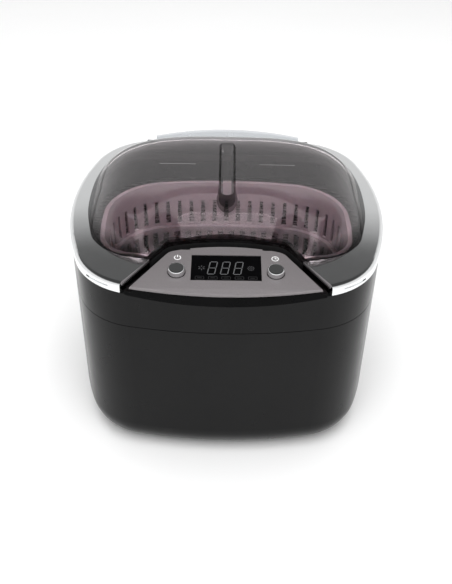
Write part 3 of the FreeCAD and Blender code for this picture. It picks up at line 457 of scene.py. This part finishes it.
def button_marks():
    """Plain white marks above the two buttons: a power sign and a clock face."""
    white = printed("white_print", (0.85, 0.85, 0.85), 0.45)
    lift = LENS_SINK + PRINT_LIFT
    power = [ring_band(-LABEL_X, LABEL_V, POWER_R, POWER_W, math.radians(125), math.radians(415)),
             bar((-LABEL_X, LABEL_V + 0.0003), (-LABEL_X, LABEL_V + 0.0026), POWER_W)]
    clock = circle(LABEL_X, LABEL_V, CLOCK_R, MARK_W) + [
        bar((LABEL_X, LABEL_V - 0.0002), (LABEL_X, LABEL_V + 0.0014), MARK_W),
        bar((LABEL_X - 0.0001, LABEL_V), (LABEL_X + 0.0012, LABEL_V), MARK_W)]
    flat_mark("power_symbol", power, white, lift)
    flat_mark("timer_symbol", clock, white, lift)


display_marks()
button_marks()


# ------------------------------------------------------------------ two fine lines on the dome

def dome_line(name, side, material):
    """Hairline printed across the dome, laid on the surface of the window."""
    window = frame["nodes"]["lid_window"]
    bm = bmesh.new()
    rows = []
    steps = 24
    for i in range(steps + 1):
        x = side * (LINE_X[0] + (LINE_X[1] - LINE_X[0]) * i / steps)
        row = []
        for y, lift in ((-LINE_HALF_W, LINE_LIFT), (LINE_HALF_W, LINE_LIFT),
                        (LINE_HALF_W, 0), (-LINE_HALF_W, 0)):
            place, normal = window.ray_cast((x, LINE_Y + y, LINE_FROM_Z), (0, 0, -1))[1:3]
            row.append(bm.verts.new(place + normal * (lift + LINE_LIFT / 4)))
        rows.append(row)
    for a, b in zip(rows, rows[1:]):
        for k in range(4):
            bm.faces.new((a[k], a[(k + 1) % 4], b[(k + 1) % 4], b[k]))
    for end in (rows[0], rows[-1]):
        bm.faces.new(end)
    bmesh.ops.recalc_face_normals(bm, faces=bm.faces)
    mesh = bpy.data.meshes.new(name)
    bm.to_mesh(mesh)
    bm.free()
    mesh.materials.append(material)
    o = bpy.data.objects.new(name, mesh)
    bpy.context.scene.collection.objects.link(o)
    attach(o, "lid")


line_print = printed("line_print", (0.30, 0.29, 0.295), 0.4)
dome_line("dome_line_left", -1, line_print)
dome_line("dome_line_right", 1, line_print)


# ------------------------------------------------------------------ floor, light and camera
def floor():
    mesh = bpy.data.meshes.new("floor")
    h = FLOOR_HALF
    mesh.from_pydata([(-h, -h, 0), (h, -h, 0), (h, h, 0), (-h, h, 0)], [], [(0, 1, 2, 3)])
    n = Nodes("floor")
    n.colour((0.93, 0.93, 0.93), (0.95, 0.95, 0.95), 3)
    n.rough(0.8, 0.9, 8)
    mesh.materials.append(n.m)
    o = bpy.data.objects.new("floor", mesh)
    bpy.context.scene.collection.objects.link(o)


def softbox(name, place, aim, width, height, power, shown_in_gloss=True):
    light = bpy.data.lights.new(name, "AREA")
    light.shape, light.size, light.size_y, light.energy = "RECTANGLE", width, height, power
    o = bpy.data.objects.new(name, light)
    o.location = place
    o.rotation_euler = (Vector(aim) - Vector(place)).to_track_quat("-Z", "Y").to_euler()
    o.visible_camera = False
    o.visible_glossy = shown_in_gloss
    bpy.context.scene.collection.objects.link(o)


def studio_sky():
    """White below a low horizon band and dark overhead, like the inside of an open-topped white tent."""
    world = bpy.data.worlds.new("studio")
    bpy.context.scene.world = world
    world.use_nodes = True
    t = world.node_tree
    coord = t.nodes.new("ShaderNodeTexCoord")
    split = t.nodes.new("ShaderNodeSeparateXYZ")
    t.links.new(coord.outputs["Generated"], split.inputs["Vector"])
    ramp = t.nodes.new("ShaderNodeValToRGB")
    while len(ramp.color_ramp.elements) < len(SKY):
        ramp.color_ramp.elements.new(0.5)
    for element, (at, value) in zip(ramp.color_ramp.elements, SKY):
        element.position, element.color = at, (value, value, value, 1)
    t.links.new(split.outputs["Z"], ramp.inputs["Fac"])
    t.links.new(ramp.outputs["Color"], t.nodes["Background"].inputs["Color"])
    t.nodes["Background"].inputs["Strength"].default_value = 1.0


def camera():
    data = bpy.data.cameras.new("camera")
    data.lens, data.clip_start, data.clip_end = CAMERA_LENS, 0.01, 50
    o = bpy.data.objects.new("camera", data)
    aim = CAMERA_AIM.to_track_quat("-Z", "Y").to_matrix().to_4x4()
    o.matrix_world = Matrix.Translation(CAMERA_AT) @ aim @ Matrix.Rotation(CAMERA_ROLL, 4, "Z")
    bpy.context.scene.collection.objects.link(o)
    bpy.context.scene.camera = o


floor()
studio_sky()
softbox("key", (0.0, -0.9, 1.6), (0, 0, 0.1), 1.6, 1.2, 26, shown_in_gloss=False)
softbox("top", (0.0, 0.3, 1.9), (0, 0, 0.1), 2.0, 1.6, 22, shown_in_gloss=False)
camera()
bpy.context.scene.view_settings.view_transform = "Standard"
